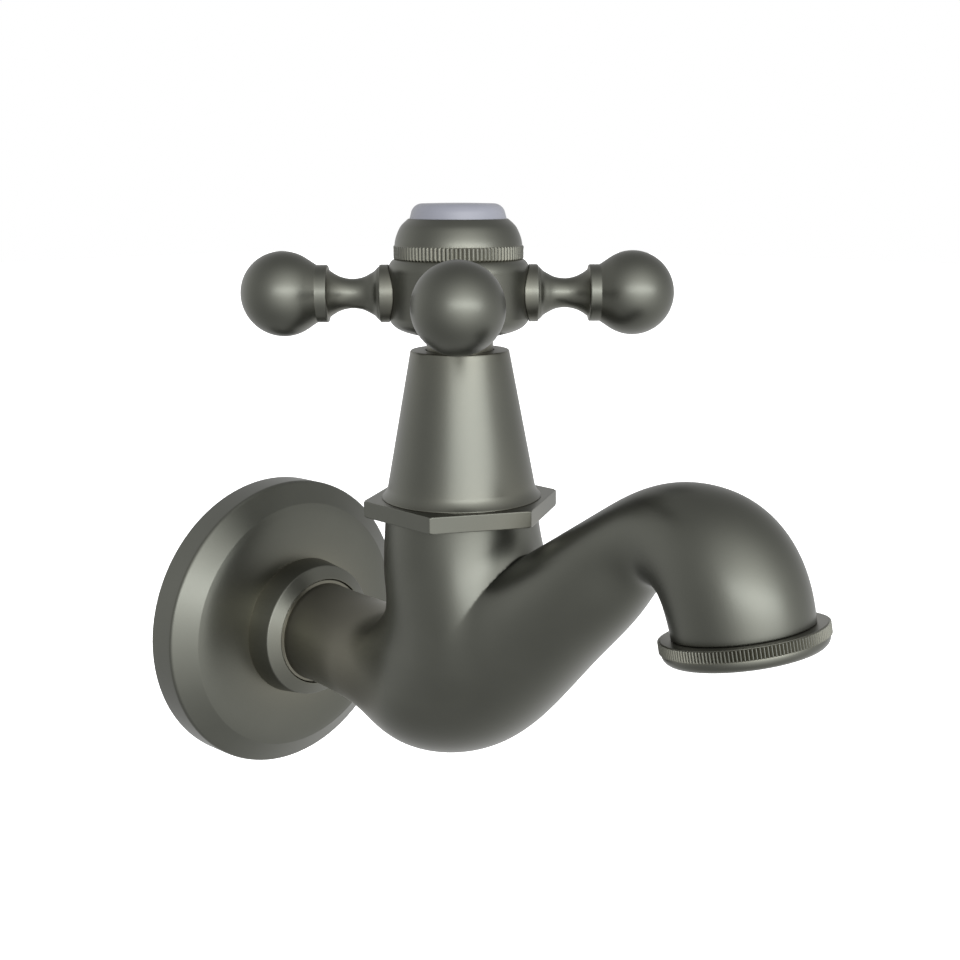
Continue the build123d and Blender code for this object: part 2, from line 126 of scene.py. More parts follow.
def canal(P):
    """Distance to the rolling ball's skin, and its direction."""
    f = np.empty(len(P))
    g = np.empty_like(P)
    for s in range(0, len(P), 16000):
        q = P[s:s + 16000]
        v = np.sqrt(q[:, :1] ** 2 + (q[:, 1:2] - LINE[:, 0]) ** 2 + (q[:, 2:3] - LINE[:, 1]) ** 2) - LINE[:, 2]
        i = np.clip(v.argmin(1), 1, len(LINE) - 2)
        row = np.arange(len(q))
        a, b, c = v[row, i - 1], v[row, i], v[row, i + 1]
        t = np.clip(0.5 * (a - c) / np.maximum(a - 2 * b + c, 1e-9), -0.5, 0.5)
        side = np.where((t > 0)[:, None], LINE[i + 1], LINE[i - 1])
        m = LINE[i] + np.abs(t)[:, None] * (side - LINE[i])
        w = np.stack([q[:, 0], q[:, 1] - m[:, 0], q[:, 2] - m[:, 1]], 1)
        d = np.linalg.norm(w, axis=1)
        f[s:s + 16000] = d - m[:, 2]
        g[s:s + 16000] = w / d[:, None]
    return f, g


def slopes(x, y):
    """Slopes of the natural cubic spline through the points."""
    n = len(x)
    A, b = np.zeros((n, n)), np.zeros(n)
    h = np.diff(x)
    s = np.diff(y) / h
    A[0, :2], b[0] = (2, 1), 3 * s[0]
    A[-1, -2:], b[-1] = (1, 2), 3 * s[-1]
    for i in range(1, n - 1):
        A[i, i - 1:i + 2] = h[i], 2 * (h[i - 1] + h[i]), h[i - 1]
        b[i] = 3 * (h[i] * s[i - 1] + h[i - 1] * s[i])
    return np.linalg.solve(A, b)


BARREL_M = slopes(BARREL_Z, BARREL_R)


def barrel(P):
    z = np.clip(P[:, 2], BARREL_Z[0], BARREL_Z[-1])
    i = np.clip(np.searchsorted(BARREL_Z, z) - 1, 0, len(BARREL_Z) - 2)
    h = BARREL_Z[i + 1] - BARREL_Z[i]
    t = (z - BARREL_Z[i]) / h
    r0, r1, m0, m1 = BARREL_R[i], BARREL_R[i + 1], BARREL_M[i], BARREL_M[i + 1]
    r = (2 * t ** 3 - 3 * t ** 2 + 1) * r0 + (t ** 3 - 2 * t ** 2 + t) * h * m0 + (3 * t ** 2 - 2 * t ** 3) * r1 + (t ** 3 - t ** 2) * h * m1
    dr = (6 * t ** 2 - 6 * t) * (r0 - r1) / h + (3 * t ** 2 - 4 * t + 1) * m0 + (3 * t ** 2 - 2 * t) * m1
    x, y = P[:, 0], P[:, 1] + AXIS
    rho = np.maximum(np.hypot(x, y), 1e-6)
    k = 1 / np.sqrt(1 + dr * dr)
    below = np.maximum(7.0 - P[:, 2], 0) ** 2 * 0.10          # the barrel dies out inside the belly
    return (rho - r) * k + below, np.stack([x / rho, y / rho, -dr], 1) * k[:, None]


def join(a, ga, b, gb, radius):
    """Rounded union of two distance fields."""
    R = radius * np.clip(1 - (ga * gb).sum(1), 1e-4, 1.6)
    ua, ub = np.maximum(R - a, 0), np.maximum(R - b, 0)
    both = (ua > 0) & (ub > 0)
    l = np.hypot(ua, ub)
    f = np.where(both, np.maximum(R, np.minimum(a, b)) - l, np.minimum(a, b))
    mix = (ua[:, None] * ga + ub[:, None] * gb) / np.maximum(l, 1e-9)[:, None]
    return f, np.where(both[:, None], mix, np.where((a < b)[:, None], ga, gb))


def widening(y):
    """The neck between the wall's boss and the barrel is a little wider than it is high."""
    p, q = np.clip((-y - 15.0) / 17.0, 0, 1), np.clip((-y - 48.0) / 24.0, 0, 1)
    return 1 + 0.19 * p * p * (3 - 2 * p) * (1 - q * q * (3 - 2 * q))


def skin(P):
    """Distance to the casting's outside, and its direction."""
    wide = widening(P[:, 1])
    a, ga = canal(np.stack([P[:, 0] / wide, P[:, 1], P[:, 2]], 1))
    ga[:, 0] /= wide
    l = np.linalg.norm(ga, axis=1)
    a, ga = a / l, ga / l[:, None]
    b, gb = barrel(P)
    turn = np.degrees(np.arctan2(np.abs(P[:, 0]), -(P[:, 1] + AXIS)))
    radius, sink, high, low, mix = [np.interp(turn, np.arange(len(t)), t) for t in (ROUND_R, CREASE_H, SOFT_HIGH, SOFT_LOW, SOFT_MIX)]
    t = np.clip((P[:, 2] - 6.0) / 15.0, 0, 1)
    reach = low + (high - low) * t * t * (3 - 2 * t)
    c, gc = join(a + sink, ga, b, gb, radius)
    c, gc = join(c, gc, a, ga, 0.5)
    h = np.clip(1 - np.abs(a - b) / reach, 0, 1)
    soft = np.minimum(a, b) - h * h * reach / 4
    w = np.clip(0.5 + 0.5 * (a - b) / reach, 0, 1)[:, None]
    g = gc + (ga * (1 - w) + gb * w - gc) * mix[:, None]
    return c + (soft - c) * mix, g / (g * g).sum(1)[:, None]


def skin_normals(P, e=0.02):
    """Surface directions by differences, so that they follow the changing fillet."""
    g = np.empty_like(P)
    for axis in range(3):
        d = np.zeros(3)
        d[axis] = e
        g[:, axis] = skin(P + d)[0] - skin(P - d)[0]
    return g / np.linalg.norm(g, axis=1)[:, None]


def tube_rings(bm, rings, cap=True):
    vs = [[bm.verts.new(p) for p in ring] for ring in rings]
    for p, q in zip(vs, vs[1:]):
        n = len(p)
        for j in range(n):
            bm.faces.new((p[j], p[(j + 1) % n], q[(j + 1) % n], q[j]))
    if cap:
        bm.faces.new(vs[0][::-1])
        bm.faces.new(vs[-1])
    return vs


def raw_shells():
    """Two overlapping closed shells that the remesh joins."""
    bm = bmesh.new()
    turn = np.linspace(0, 2 * math.pi, 64, endpoint=False)
    rings = []
    for i in range(0, len(LINE), 7):
        a, b, c = LINE[max(i - 1, 0)], LINE[min(i + 1, len(LINE) - 1)], LINE[i]
        ty, tz, rp = (b - a) / math.hypot(b[0] - a[0], b[1] - a[1])
        cy, cz, r = c[0] - c[2] * rp * ty, c[1] - c[2] * rp * tz, c[2] * math.sqrt(1 - rp * rp)
        rings.append([(r * math.sin(t), cy + r * math.cos(t) * tz, cz - r * math.cos(t) * ty) for t in turn])
    tube_rings(bm, rings)
    rings = []
    for z in np.linspace(-9, 34, 40):
        r = float(np.interp(z, BARREL_Z, BARREL_R))
        rings.append([(r * math.sin(t), -AXIS + r * math.cos(t), z) for t in turn])
    tube_rings(bm, rings)
    bmesh.ops.recalc_face_normals(bm, faces=bm.faces)
    me = bpy.data.meshes.new("shells")
    bm.to_mesh(me)
    bm.free()
    return me


def cut(bm, co, no, keep):
    """Cut the part of bm that keep() picks and drop what lies beyond the plane. Gives the open loop's edges."""
    vs = {v for v in bm.verts if keep(v.co)}
    geom = list(vs) + [e for e in bm.edges if all(v in vs for v in e.verts)] + [f for f in bm.faces if all(v in vs for v in f.verts)]
    bmesh.ops.bisect_plane(bm, geom=geom, plane_co=co, plane_no=no, clear_outer=True, dist=1e-5)


def open_loops(bm):
    """Ordered vertex loops round the open ends."""
    nxt = {}
    for e in bm.edges:
        if len(e.link_faces) == 1:
            a, b = e.verts
            nxt.setdefault(a, []).append(b)
            nxt.setdefault(b, []).append(a)
    loops, seen = [], set()
    for start in nxt:
        if start in seen:
            continue
        loop, prev, v = [start], None, start
        while True:
            seen.add(v)
            step = [w for w in nxt[v] if w is not prev]
            prev, v = v, step[0]
            if v is start:
                break
            loop.append(v)
        loops.append(loop)
    return loops


def around(loop, centre, ax, ay):
    """Angles of the loop's vertices round an axis, and the vertices in rising order."""
    a = [math.atan2((v.co - centre).dot(ay), (v.co - centre).dot(ax)) for v in loop]
    order = sorted(range(len(loop)), key=lambda i: a[i])
    return [a[i] for i in order], [loop[i] for i in order]


def zip_loops(bm, one, two, centre, ax, ay):
    """Triangles between two closed loops round one axis, whatever their counts."""
    centre, ax, ay = Vector(centre), Vector(ax), Vector(ay)
    a, va = around(one, centre, ax, ay)
    b, vb = around(two, centre, ax, ay)
    i = j = 0
    faces = []
    while i < len(va) or j < len(vb):
        na = a[(i + 1) % len(va)] + (2 * math.pi if i + 1 >= len(va) else 0)
        nb = b[(j + 1) % len(vb)] + (2 * math.pi if j + 1 >= len(vb) else 0)
        p, q = va[i % len(va)], vb[j % len(vb)]
        if j >= len(vb) or (i < len(va) and na <= nb):
            faces.append(bm.faces.new((p, va[(i + 1) % len(va)], q)))
            i += 1
        else:
            faces.append(bm.faces.new((p, vb[(j + 1) % len(vb)], q)))
            j += 1
    return faces


def circle(r, centre, ax, ay, n=96, offset=0.0):
    c, ax, ay = np.array(centre, float), np.array(ax, float), np.array(ay, float)
    return [tuple(c + r * (math.cos(t + offset) * ax + math.sin(t + offset) * ay)) for t in np.linspace(0, 2 * math.pi, n, endpoint=False)]


def casting_mesh(voxel=0.55):
    shells = raw_shells()
    ob = bpy.data.objects.new("shells", shells)
    scene.collection.objects.link(ob)
    md = ob.modifiers.new("voxel", "REMESH")
    md.mode = "VOXEL"
    md.voxel_size = voxel
    md.adaptivity = 0.0
    me = bpy.data.meshes.new_from_object(ob.evaluated_get(bpy.context.evaluated_depsgraph_get()))
    bpy.data.objects.remove(ob)
    bpy.data.meshes.remove(shells)
    P = np.empty(len(me.vertices) * 3)
    me.vertices.foreach_get("co", P)
    P = P.reshape(-1, 3)
    edges = np.empty(len(me.edges) * 2, int)
    me.edges.foreach_get("vertices", edges)
    edges = edges.reshape(-1, 2)
    degree = np.bincount(edges.ravel(), minlength=len(P)).astype(float)[:, None]
    free = (P[:, 2] < 33.2) | (P[:, 1] < -76)
    free &= P[:, 1] < -13.5
    free &= ~(((P - OUTLET) @ OUTLET_N > 0.9) & (P[:, 1] < -95))
    for k in range(8):
        s = np.zeros_like(P)
        for axis in range(3):
            s[:, axis] = np.bincount(edges[:, 0], P[edges[:, 1], axis], len(P)) + np.bincount(edges[:, 1], P[edges[:, 0], axis], len(P))
        P[free] += 0.5 * (s / degree - P)[free]
        if k > 3:
            f, g = skin(P[free])
            P[free] -= np.clip(f, -1, 1)[:, None] * g
    for k in range(3):
        f, g = skin(P[free])
        P[free] -= np.clip(f, -1, 1)[:, None] * g
    me.vertices.foreach_set("co", P.ravel())
    bm = bmesh.new()
    bm.from_mesh(me)
    bpy.data.meshes.remove(me)
    end = Vector(OUTLET - 0.12 * OUTLET_N)
    cut(bm, (0, 0, BARREL_TOP), (0, 0, 1), lambda c: c.z > 20 and c.y > -76)
    cut(bm, (0, TAIL_CUT, 0), (0, 1, 0), lambda c: c.y > -25)
    cut(bm, end, Vector(OUTLET_N), lambda c: c.y < -95 and c.z < 30)
    on_skin = set(bm.faces)
    loops = open_loops(bm)
    top = next(l for l in loops if all(abs(v.co.z - BARREL_TOP) < 1e-3 for v in l) and l[0].co.y > -76)
    tail = next(l for l in loops if all(abs(v.co.y - TAIL_CUT) < 1e-3 for v in l))
    mouth = next(l for l in loops if l is not top and l is not tail)
    # threaded mouth of the barrel, chamber and seat
    X, Y, Z = (1, 0, 0), (0, 1, 0), (0, 0, 1)
    at = (0, -AXIS, 0)
    prof = [(12.3, 31.81), (12.3, 30.01), (10.45, 30.01), (10.45, 22.0), (10.1, 21.6), (10.1, 8.2), (9.9, 7.7), (9.4, 7.5),
            (7.0, 7.5), (6.7, 9.0), (6.5, 9.2), (6.3, 9.25), (5.7, 9.25), (5.5, 9.2), (5.4, 9.0), (5.4, 0.0)]
    vs = tube_rings(bm, [circle(r, (0, -AXIS, z), X, Y) for r, z in prof], cap=False)
    bm.faces.new(vs[-1])
    zip_loops(bm, top, vs[0], at, X, Y)
    # spout's end: seat of the ring's sleeve, then the waterway
    u = np.cross(OUTLET_N, X)
    prof = [(9.45, -0.12), (9.45, -5.8), (8.6, -5.8), (8.6, -9.0), (8.2, -12.0)]
    vs = tube_rings(bm, [circle(r, OUTLET + d * OUTLET_N, X, u) for r, d in prof], cap=False)
    bm.faces.new(vs[-1])
    zip_loops(bm, mouth, vs[0], end, X, tuple(u))
    # tail: plain tube, then a G 1/2 thread whose crests are at 20.955 mm, and the bore
    n, pitch, major, depth = 120, 1.814, 10.4775, 1.0

    def thread(y, t):
        start = min(1.0, max(0.0, (y - 0.2) / 2.2))
        phase = ((y / pitch - t / (2 * math.pi)) % 1.0) * 2 - 1
        wave = min(1.0, max(0.0, (1 - abs(phase)) * 1.35 - 0.17))
        wave = wave * wave * (3 - 2 * wave)
        r = major - depth * wave * start * start * (3 - 2 * start)
        return min(r, 10.4775 - max(0.0, y - 15.0) * 0.9)

    turn = np.linspace(0, 2 * math.pi, n, endpoint=False)
    plain_part = [(10.3, -16.2), (10.68, -16.12), (10.72, -16.0), (10.72, -12.0), (10.3, -11.9), (10.3, -1.25), (major, -1.2)]
    rings = [[(r * math.cos(t), y, r * math.sin(t)) for t in turn] for r, y in plain_part]
    for y in list(np.arange(-1.0, 15.9, pitch / 14)) + [16.0]:
        ring = []
        for t in turn:
            r = major if y < 0 else thread(y, t)
            ring.append((r * math.cos(t), y, r * math.sin(t)))
        rings.append(ring)
    for r, y in [(7.7, 16.0), (7.2, 15.5), (7.2, 0.0), (7.2, -20.0), (7.3, -34.0), (7.5, -44.0)]:
        rings.append([(r * math.cos(t), y, r * math.sin(t)) for t in turn])
    vs = tube_rings(bm, rings, cap=False)
    bm.faces.new(vs[-1])
    zip_loops(bm, tail, vs[0], (0, 0, 0), X, Z)
    bmesh.ops.recalc_face_normals(bm, faces=bm.faces)
    tag = bm.faces.layers.int.new("on_skin")
    for f in bm.faces:
        f.smooth = True
        f[tag] = 1 if f in on_skin else 0
    me = bpy.data.meshes.new("tap_casting")
    bm.to_mesh(me)
    bm.free()
    me.set_sharp_from_angle(angle=math.radians(32))
    P = np.empty(len(me.vertices) * 3)
    me.vertices.foreach_get("co", P)
    g = skin_normals(P.reshape(-1, 3))
    which = np.empty(len(me.loops), int)
    me.loops.foreach_get("vertex_index", which)
    N = g[which]
    sizes = np.empty(len(me.polygons), int)
    me.polygons.foreach_get("loop_total", sizes)
    flag = np.empty(len(me.polygons), int)
    me.attributes["on_skin"].data.foreach_get("value", flag)
    N[np.repeat(flag, sizes) == 0] = 0.0
    me.normals_split_custom_set(N.tolist())
    me.attributes.remove(me.attributes["on_skin"])
    me.transform(Matrix.Scale(0.001, 4))
    return me


casting = bpy.data.objects.new("tap_casting", casting_mesh())
scene.collection.objects.link(casting)
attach(casting, "tap")
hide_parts("tap_body")

# ------------------------------------------------------------------ arms: turned balls, cones, waists and collars
ARM_Z, ARM_TURN, HUB_R = 71.34, 46.645, 12.43
BALL_AT, BALL_R = 30.70, 7.41
CONE_AT, CONE_R = 24.85, 5.0


def line(p, q, n=2):
    p, q = np.array(p, float), np.array(q, float)
    t = (q - p) / np.linalg.norm(q - p)
    return [(*(p + (q - p) * k), t[1], -t[0]) for k in np.linspace(0, 1, n)]


def arc(centre, r, a0, a1, n):
    """Arc from angle a0 to a1, angles from the arm's axis, seen from inside a convex corner."""
    return [(centre[0] + r * math.sin(a), centre[1] + r * math.cos(a), math.sin(a), math.cos(a))
            for a in np.linspace(a0, a1, n)]


def curve(points, n):
    """Smooth curve through points (radius, distance), with its outward directions."""
    p = np.array(points, float)
    t = np.concatenate([[0], np.cumsum(np.linalg.norm(np.diff(p, axis=0), axis=1))])
    m = np.stack([slopes(t, p[:, 0]), slopes(t, p[:, 1])], 1)
    out = []
    for s in np.linspace(0, t[-1], n):
        i = min(max(int(np.searchsorted(t, s)) - 1, 0), len(t) - 2)
        h = t[i + 1] - t[i]
        k = (s - t[i]) / h
        v = (2 * k ** 3 - 3 * k ** 2 + 1) * p[i] + (k ** 3 - 2 * k ** 2 + k) * h * m[i] + (3 * k ** 2 - 2 * k ** 3) * p[i + 1] + (k ** 3 - k ** 2) * h * m[i + 1]
        d = (6 * k ** 2 - 6 * k) * (p[i] - p[i + 1]) / h + (3 * k ** 2 - 4 * k + 1) * m[i] + (3 * k ** 2 - 2 * k) * m[i + 1]
        d /= np.linalg.norm(d)
        out.append((*v, d[1], -d[0]))
    return out


def arm_profile():
    """Runs of (radius, distance from the valve's axis, outward direction), sharp between runs."""
    reach = math.hypot(BALL_AT - CONE_AT, CONE_R)
    touch = math.atan2(CONE_R, CONE_AT - BALL_AT) - math.acos(BALL_R / reach)
    tangent = (BALL_R * math.sin(touch), BALL_AT + BALL_R * math.cos(touch))
    quarter = math.pi / 2
    return [
        line((5.05, 11.0), (5.05, 13.65), 3) + arc((4.75, 13.65), 0.3, quarter, 0.1, 6),
        line((4.78, 13.95), (4.72, 13.95)),
        curve([(4.72, 13.95), (4.6, 14.15), (4.05, 14.68), (3.45, 15.6), (3.0, 16.45), (2.73, 17.3), (2.6, 18.2), (2.6, 19.1),
               (2.75, 20.0), (3.0, 20.8), (3.45, 21.7), (4.0, 22.5), (4.3, 22.85)], 44),
        line((4.3, 22.85), (4.7, 22.85)),
        arc((4.7, 23.15), 0.3, 2 * quarter, quarter, 8) + line((CONE_R, 23.15), (CONE_R, CONE_AT), 3)[1:],
        line((CONE_R, CONE_AT), tangent, 4) + arc((0, BALL_AT), BALL_R, touch, 0.0, 72)[1:]]


def arm_mesh(name, quarter_turns, n=128):
    a = math.radians(ARM_TURN + 90 * quarter_turns)
    out = np.array([-math.sin(a), -math.cos(a), 0.0])
    side = np.cross((0, 0, 1), out)
    origin = np.array([0.0, -AXIS, ARM_Z])
    turn = np.linspace(0, 2 * math.pi, n, endpoint=False)
    way = np.cos(turn)[:, None] * np.array([0.0, 0.0, 1.0]) + np.sin(turn)[:, None] * side
    bm = bmesh.new()
    corner = {}

    def ring(r, s):
        """Points at distance r round the arm's axis and s along it; s may change round the ring."""
        return [bm.verts.new(tuple(p)) for p in origin + np.broadcast_to(np.asarray(s, float), n)[:, None] * out + r * way]

    def band(p, q, dp, dq):
        for j in range(n):
            k = (j + 1) % n
            f = bm.faces.new((p[j], q[j], q[k], p[k]) if len(q) > 1 else (p[j], q[0], p[k]))
            f.smooth = True
            for v, i, d in ((p[j], j, dp), (p[k], k, dp)) + (((q[j], j, dq), (q[k], k, dq)) if len(q) > 1 else ((q[0], j, dq),)):
                corner[(f, v)] = d[0] * way[i] + d[1] * out if d is not None else np.zeros(3)

    # stud in the hub, and the shoulder that follows the hub's round wall
    shoulder = lambda r: np.sqrt(HUB_R ** 2 - (r * np.sin(turn)) ** 2)
    tip = [bm.verts.new(tuple(origin + 8.4 * out))]
    rings = [ring(1.7, 8.4), ring(2.0, 8.7), ring(2.0, shoulder(2.0)), ring(5.05, shoulder(5.05))]
    for p, q in zip(rings, rings[1:]):
        band(p, q, None, None)
    for j in range(n):
        f = bm.faces.new((rings[0][(j + 1) % n], tip[0], rings[0][j]))
        for v in f.verts:
            corner[(f, v)] = np.zeros(3)
    last = rings[-1]
    for i, run in enumerate(arm_profile()):
        prev = run[0]
        for p in run[1:]:
            new = ring(p[0], p[1]) if p[0] > 1e-6 else [bm.verts.new(tuple(origin + p[1] * out))]
            band(last, new, prev[2:], p[2:])
            last, prev = new, p
    bmesh.ops.recalc_face_normals(bm, faces=bm.faces)
    bm.verts.index_update()
    normals = []
    for f in bm.faces:
        f.smooth = True
        normals += [corner[(f, l.vert)] for l in f.loops]
    me = bpy.data.meshes.new(name)
    bm.to_mesh(me)
    bm.free()
    me.set_sharp_from_angle(angle=math.radians(14))
    me.normals_split_custom_set([tuple(v) for v in normals])
    me.transform(Matrix.Scale(0.001, 4))
    return me


arms = []
for name, quarter_turns in (("front", 0), ("left", 1), ("rear", 2), ("right", -1)):
    arm = bpy.data.objects.new("ball_arm_" + name, arm_mesh("ball_arm_" + name, quarter_turns))
    scene.collection.objects.link(arm)
    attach(arm, "handle")
    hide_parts("handle_arm_" + name)
    arms.append(arm)


# ------------------------------------------------------------------ materials
def new_material(name):
    m = bpy.data.materials.new(name)
    m.use_nodes = True
    nt = m.node_tree
    return m, nt, nt.nodes["Principled BSDF"]


def node(nt, kind, **inputs):
    n = nt.nodes.new(kind)
    for k, v in inputs.items():
        n.inputs[k].default_value = v
    return n


def noise(nt, scale, detail=3.0, rough=0.5, coord=None):
    n = nt.nodes.new("ShaderNodeTexNoise")
    n.inputs["Scale"].default_value = scale
    n.inputs["Detail"].default_value = detail
    n.inputs["Roughness"].default_value = rough
    if coord is not None:
        nt.links.new(coord, n.inputs["Vector"])
    return n


def ramp(nt, fac, lo, hi, a, b):
    r = nt.nodes.new("ShaderNodeMapRange")
    nt.links.new(fac, r.inputs["Value"])
    r.inputs["From Min"].default_value = lo
    r.inputs["From Max"].default_value = hi
    r.inputs["To Min"].default_value = a
    r.inputs["To Max"].default_value = b
    return r.outputs["Result"]


def mix_colour(nt, fac, a, b):
    m = nt.nodes.new("ShaderNodeMix")
    m.data_type = "RGBA"
    nt.links.new(fac, m.inputs["Factor"])
    for i, c in ((6, a), (7, b)):
        if isinstance(c, tuple):
            m.inputs[i].default_value = (*c, 1.0)
        else:
            nt.links.new(c, m.inputs[i])
    return m.outputs[2]


def edge_mask(nt, radius):
    """1 on sharp outer edges, 0 on smooth surfaces and in corners, and the normal that rounds the edges."""
    bevel = nt.nodes.new("ShaderNodeBevel")
    bevel.samples = 6
    bevel.inputs["Radius"].default_value = radius
    geo = nt.nodes.new("ShaderNodeNewGeometry")
    dot = nt.nodes.new("ShaderNodeVectorMath")
    dot.operation = "DOT_PRODUCT"
    nt.links.new(bevel.outputs["Normal"], dot.inputs[0])
    nt.links.new(geo.outputs["Normal"], dot.inputs[1])
    open_air = nt.nodes.new("ShaderNodeAmbientOcclusion")
    open_air.samples = 6
    open_air.only_local = True
    open_air.inputs["Distance"].default_value = 0.0008
    outer = ramp(nt, open_air.outputs["AO"], 0.80, 0.97, 0.0, 1.0)
    edge = nt.nodes.new("ShaderNodeMath")
    edge.operation = "MULTIPLY"
    nt.links.new(ramp(nt, dot.outputs["Value"], 0.995, 0.745, 0.0, 1.0), edge.inputs[0])
    nt.links.new(outer, edge.inputs[1])
    mix = nt.nodes.new("ShaderNodeMix")
    mix.data_type = "VECTOR"
    nt.links.new(outer, mix.inputs["Factor"])
    nt.links.new(geo.outputs["Normal"], mix.inputs[4])
    nt.links.new(bevel.outputs["Normal"], mix.inputs[5])
    return edge.outputs[0], mix.outputs[1]


def metal(name, dark, light, rough, spread, grain=2600.0, bump=0.05, cloud=55.0, edge_wear_and_highlight=None, painted_light_colour=None,
          stretch=None):
    """Plated or bare metal. The colour for sharp outer edges is lighter: part rubbed wear, part a painted highlight.
    The colour for sheltered corners is painted fill light, lighter where ambient occlusion finds corners; with
    stretch it is instead a lighter painted reflection in a band along Y.
    """
    m, nt, b = new_material(name)
    b.inputs["Metallic"].default_value = 1.0
    co = nt.nodes.new("ShaderNodeTexCoord").outputs["Object"]
    big = noise(nt, cloud, 4.0, 0.55, co).outputs["Fac"]
    fine = noise(nt, grain, 2.0, 0.6, co).outputs["Fac"]
    colour = mix_colour(nt, ramp(nt, big, 0.3, 0.7, 0.0, 1.0), dark, light)
    if painted_light_colour is not None and stretch is not None:
        # painted reflection: the casting turns lighter and browner towards the wall along object Y, over the stretch
        # range
        place = nt.nodes.new("ShaderNodeSeparateXYZ")
        nt.links.new(co, place.inputs[0])
        colour = mix_colour(nt, ramp(nt, place.outputs["Y"], *stretch, 0.0, 1.0), colour, painted_light_colour)
    elif painted_light_colour is not None:
        # painted fill light: the colour turns lighter where ambient occlusion finds sheltered corners and recesses,
        # to cancel the shade there
        shelter = nt.nodes.new("ShaderNodeAmbientOcclusion")
        shelter.samples = 8
        shelter.inputs["Distance"].default_value = 0.024
        colour = mix_colour(nt, ramp(nt, shelter.outputs["AO"], 0.92, 0.52, 0.0, 1.0), colour, painted_light_colour)
    both = nt.nodes.new("ShaderNodeMath")
    both.operation = "MULTIPLY_ADD"
    nt.links.new(fine, both.inputs[0])
    both.inputs[1].default_value = 0.35
    nt.links.new(big, both.inputs[2])
    gloss = ramp(nt, both.outputs[0], 0.4, 0.95, rough - spread, rough + spread)
    bp = nt.nodes.new("ShaderNodeBump")
    bp.inputs["Strength"].default_value = bump
    bp.inputs["Distance"].default_value = 0.0001
    nt.links.new(fine, bp.inputs["Height"])
    if edge_wear_and_highlight is not None:
        # rubbed edges with a painted highlight: lighter colour on sharp outer edges, in noisy patches
        edge, rounded = edge_mask(nt, 0.00028)
        patch = nt.nodes.new("ShaderNodeMath")
        patch.operation = "MULTIPLY"
        nt.links.new(edge, patch.inputs[0])
        nt.links.new(ramp(nt, noise(nt, 420.0, 3.0, 0.6, co).outputs["Fac"], 0.38, 0.62, 0.35, 1.0), patch.inputs[1])
        colour = mix_colour(nt, patch.outputs[0], colour, edge_wear_and_highlight)
        less = nt.nodes.new("ShaderNodeMath")
        less.operation = "MULTIPLY_ADD"
        nt.links.new(patch.outputs[0], less.inputs[0])
        less.inputs[1].default_value = -0.06
        nt.links.new(gloss, less.inputs[2])
        gloss = less.outputs[0]
        nt.links.new(rounded, bp.inputs["Normal"])
    nt.links.new(colour, b.inputs["Base Color"])
    nt.links.new(gloss, b.inputs["Roughness"])
    nt.links.new(bp.outputs["Normal"], b.inputs["Normal"])
    return m


def plain(name, colour, other, rough, spread, scale, bump=0.1, specular=0.5):
    m, nt, b = new_material(name)
    b.inputs["Specular IOR Level"].default_value = specular
    co = nt.nodes.new("ShaderNodeTexCoord").outputs["Object"]
    big = noise(nt, scale, 3.0, 0.5, co).outputs["Fac"]
    fine = noise(nt, scale * 14, 2.0, 0.6, co).outputs["Fac"]
    nt.links.new(mix_colour(nt, ramp(nt, big, 0.35, 0.65, 0.0, 1.0), colour, other), b.inputs["Base Color"])
    nt.links.new(ramp(nt, fine, 0.3, 0.7, rough - spread, rough + spread), b.inputs["Roughness"])
    bp = nt.nodes.new("ShaderNodeBump")
    bp.inputs["Strength"].default_value = bump
    bp.inputs["Distance"].default_value = 0.0001
    nt.links.new(fine, bp.inputs["Height"])
    nt.links.new(bp.outputs["Normal"], b.inputs["Normal"])
    return m


# gunmetal: the edge colour is part rubbed wear, part painted highlight; the corner colour is painted fill light
gunmetal = metal("gunmetal", (0.0935, 0.0955, 0.0820), (0.1030, 0.1050, 0.0905), 0.375, 0.02, edge_wear_and_highlight=(0.150, 0.152, 0.132),
                 painted_light_colour=(0.147, 0.144, 0.117))
# casting: the lighter, browner colour towards the wall is a painted reflection; the edge colour is part rubbed wear,
# part painted highlight
cast_metal = metal("gunmetal_casting", (0.0935, 0.0955, 0.0820), (0.1030, 0.1050, 0.0905), 0.375, 0.02,
                   edge_wear_and_highlight=(0.150, 0.152, 0.132), painted_light_colour=(0.152, 0.147, 0.119), stretch=(-0.051, -0.036))
brass = metal("machined_brass", (0.62, 0.45, 0.19), (0.74, 0.57, 0.29), 0.30, 0.05, 1800.0, 0.08, 90.0)
steel = metal("stainless", (0.52, 0.52, 0.51), (0.64, 0.64, 0.63), 0.28, 0.05, 2200.0, 0.06, 120.0)
rubber = plain("black_rubber", (0.022, 0.022, 0.024), (0.034, 0.033, 0.034), 0.62, 0.08, 220.0, 0.25)
white_plastic = plain("white_plastic", (0.72, 0.72, 0.69), (0.80, 0.80, 0.77), 0.45, 0.05, 150.0, 0.08)
button_mat = plain("button_plastic", (0.175, 0.180, 0.208), (0.195, 0.200, 0.228), 0.38, 0.03, 120.0, 0.04)
by_slot = {"gunmetal": gunmetal, "raw_brass": brass, "steel": steel, "rubber": rubber,
           "white_plastic": white_plastic, "button": button_mat}
slot_of = {s["node"]: s["material_slot"] for s in frame["record"]["subparts"]}
for name, ob in nodes.items():
    ob.data.materials.clear()
    ob.data.materials.append(by_slot[slot_of[name]])

casting.data.materials.append(cast_metal)
for ob in arms:
    ob.data.materials.append(gunmetal)

# ------------------------------------------------------------------ floor and light
bpy.ops.mesh.primitive_plane_add(size=12.0, location=(0, 0, -0.26))
floor = bpy.context.object
floor.name = "floor"
fm, fnt, fb = new_material("pale_floor")
fb.inputs["Base Color"].default_value = (0.92, 0.92, 0.92, 1)
fb.inputs["Roughness"].default_value = 0.9
fb.inputs["Emission Color"].default_value = (1, 1, 1, 1)
fb.inputs["Emission Strength"].default_value = 0.8
floor.data.materials.append(fm)
floor.visible_glossy = False
floor.visible_diffuse = False

